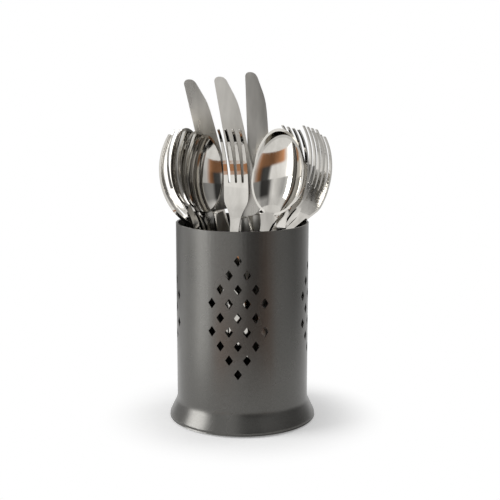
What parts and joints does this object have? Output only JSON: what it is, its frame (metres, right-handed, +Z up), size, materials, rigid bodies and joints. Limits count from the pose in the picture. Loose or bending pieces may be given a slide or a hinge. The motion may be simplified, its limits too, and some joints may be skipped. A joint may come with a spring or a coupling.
{
  "type": "utensil holder",
  "caption": "Perforated round steel can on a flared foot with a lift-out drainer, stocked with matching table knives, forks and spoons that each lift out.",
  "frame": {"origin": "on the table under the axis of the can, at the middle of the grip pad's lower face", "axes": "+Z up along the axis of the can, front of the can towards -Y, +X to the right seen from the front"},
  "size_m": [0.1375, 0.1184, 0.2781],
  "materials": {
    "gunmetal_coat": "satin powder coat on steel",
    "pad_rubber": "matte",
    "drainer_coat": "satin powder coat on steel",
    "stainless": "mirror-polished stainless steel"
  },
  "bodies": {
    "holder": {"can_shell": "gunmetal_coat", "base_pan": "gunmetal_coat", "grip_pad": "pad_rubber"},
    "drainer": {"drainer": "drainer_coat"},
    "knife_left": {"knife_left": "stainless"},
    "knife_centre": {"knife_centre": "stainless"},
    "knife_right": {"knife_right": "stainless"},
    "fork_centre": {"fork_centre": "stainless"},
    "fork_left_outer": {"fork_left_outer": "stainless"},
    "fork_left_inner": {"fork_left_inner": "stainless"},
    "fork_right_outer": {"fork_right_outer": "stainless"},
    "fork_right_middle": {"fork_right_middle": "stainless"},
    "fork_right_inner": {"fork_right_inner": "stainless"},
    "spoon_left_front": {"spoon_left_front": "stainless"},
    "spoon_left_middle": {"spoon_left_middle": "stainless"},
    "spoon_left_back": {"spoon_left_back": "stainless"},
    "spoon_right_front": {"spoon_right_front": "stainless"},
    "spoon_right_back": {"spoon_right_back": "stainless"}
  },
  "joints": [
    {"name": "drainer_lift", "type": "slide", "parent": "holder", "child": "drainer", "axis": [0, 0, 1], "range_m": [0, 0.16]},
    {"name": "knife_left_lift", "type": "slide", "parent": "drainer", "child": "knife_left", "axis": [-0.2175, -0.0793, 0.9728], "range_m": [0, 0.126]},
    {"name": "knife_centre_lift", "type": "slide", "parent": "drainer", "child": "knife_centre", "axis": [-0.1721, 0.0281, 0.9847], "range_m": [0, 0.126]},
    {"name": "knife_right_lift", "type": "slide", "parent": "drainer", "child": "knife_right", "axis": [-0.0353, 0.0151, 0.9993], "range_m": [0, 0.126]},
    {"name": "fork_centre_lift", "type": "slide", "parent": "drainer", "child": "fork_centre", "axis": [-0.0372, -0.0971, 0.9946], "range_m": [0, 0.126]},
    {"name": "fork_left_outer_lift", "type": "slide", "parent": "drainer", "child": "fork_left_outer", "axis": [-0.258, 0.089, 0.962], "range_m": [0, 0.126]},
    {"name": "fork_left_inner_lift", "type": "slide", "parent": "drainer", "child": "fork_left_inner", "axis": [-0.277, 0.1699, 0.9457], "range_m": [0, 0.126]},
    {"name": "fork_right_outer_lift", "type": "slide", "parent": "drainer", "child": "fork_right_outer", "axis": [0.3116, -0.0697, 0.9477], "range_m": [0, 0.126]},
    {"name": "fork_right_middle_lift", "type": "slide", "parent": "drainer", "child": "fork_right_middle", "axis": [0.2411, 0.0034, 0.9705], "range_m": [0, 0.126]},
    {"name": "fork_right_inner_lift", "type": "slide", "parent": "drainer", "child": "fork_right_inner", "axis": [0.164, -0.064, 0.9844], "range_m": [0, 0.126]},
    {"name": "spoon_left_front_lift", "type": "slide", "parent": "drainer", "child": "spoon_left_front", "axis": [0.0014, -0.2458, 0.9693], "range_m": [0, 0.126]},
    {"name": "spoon_left_middle_lift", "type": "slide", "parent": "drainer", "child": "spoon_left_middle", "axis": [-0.0651, -0.1607, 0.9849], "range_m": [0, 0.126]},
    {"name": "spoon_left_back_lift", "type": "slide", "parent": "drainer", "child": "spoon_left_back", "axis": [-0.0483, -0.1276, 0.9906], "range_m": [0, 0.126]},
    {"name": "spoon_right_front_lift", "type": "slide", "parent": "drainer", "child": "spoon_right_front", "axis": [0.2015, -0.105, 0.9738], "range_m": [0, 0.126]},
    {"name": "spoon_right_back_lift", "type": "slide", "parent": "drainer", "child": "spoon_right_back", "axis": [-0.0371, -0.055, 0.9978], "range_m": [0, 0.126]}
  ]
}
